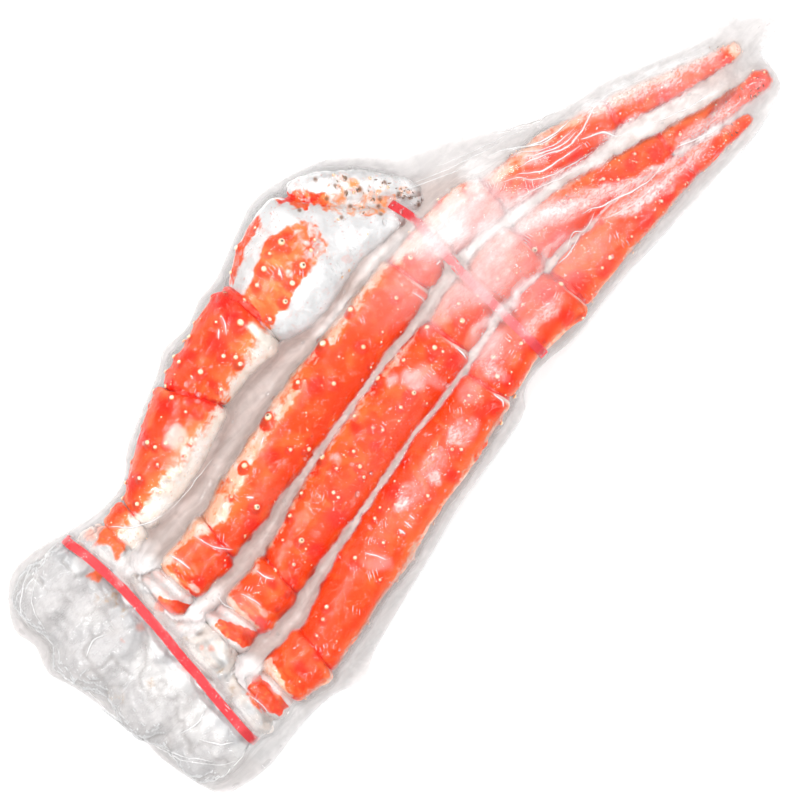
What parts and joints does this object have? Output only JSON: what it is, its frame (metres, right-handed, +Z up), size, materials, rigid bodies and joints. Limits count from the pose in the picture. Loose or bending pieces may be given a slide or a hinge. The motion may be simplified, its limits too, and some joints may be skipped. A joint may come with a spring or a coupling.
{
  "type": "vacuum-packed king crab section",
  "caption": "Cooked king crab section, a claw arm and walking legs on a white shoulder, banded and flat in a clear vacuum bag.",
  "frame": {"origin": "on the surface it lies on, under the middle of the bag", "axes": "+X from the shoulder to the leg tips, +Y across towards the claw arm, +Z up"},
  "size_m": [0.495, 0.2106, 0.0412],
  "materials": {
    "orange_shell": "cooked crab shell, orange red with cream flanks and pale spines, wet and semi-gloss",
    "white_shell": "white to cream crab shell with orange patches, smooth and semi-gloss",
    "shoulder_meat": "white crab body meat and thin shell, lumpy, slightly translucent",
    "joint_membrane": "soft pinkish white joint skin",
    "red_rubber": "smooth red rubber band",
    "clear_film": "thin clear vacuum film, wrinkled and glossy"
  },
  "bodies": {
    "root": {"vacuum_bag": "clear_film", "shoulder_claw": "shoulder_meat", "shoulder_leg1": "shoulder_meat", "shoulder_leg2": "shoulder_meat", "shoulder_leg3": "shoulder_meat", "claw_coxa": "white_shell", "claw_ischium": "orange_shell", "claw_merus": "orange_shell", "claw_carpus": "orange_shell", "claw_palm": "white_shell", "claw_finger": "white_shell", "leg1_coxa": "white_shell", "leg1_basis": "orange_shell", "leg1_membrane": "joint_membrane", "leg1_ischium": "orange_shell", "leg1_merus": "orange_shell", "leg1_carpus": "orange_shell", "leg1_propodus": "orange_shell", "leg1_dactylus": "orange_shell", "leg2_coxa": "white_shell", "leg2_basis": "orange_shell", "leg2_membrane": "joint_membrane", "leg2_ischium": "orange_shell", "leg2_merus": "orange_shell", "leg2_carpus": "orange_shell", "leg2_propodus": "orange_shell", "leg2_dactylus": "orange_shell", "leg3_coxa": "white_shell", "leg3_basis": "orange_shell", "leg3_membrane": "joint_membrane", "leg3_ischium": "orange_shell", "leg3_merus": "orange_shell", "leg3_carpus": "orange_shell", "leg3_propodus": "orange_shell", "leg3_dactylus": "orange_shell", "band_shoulder": "red_rubber", "band_legs": "red_rubber"}
  },
  "joints": []
}
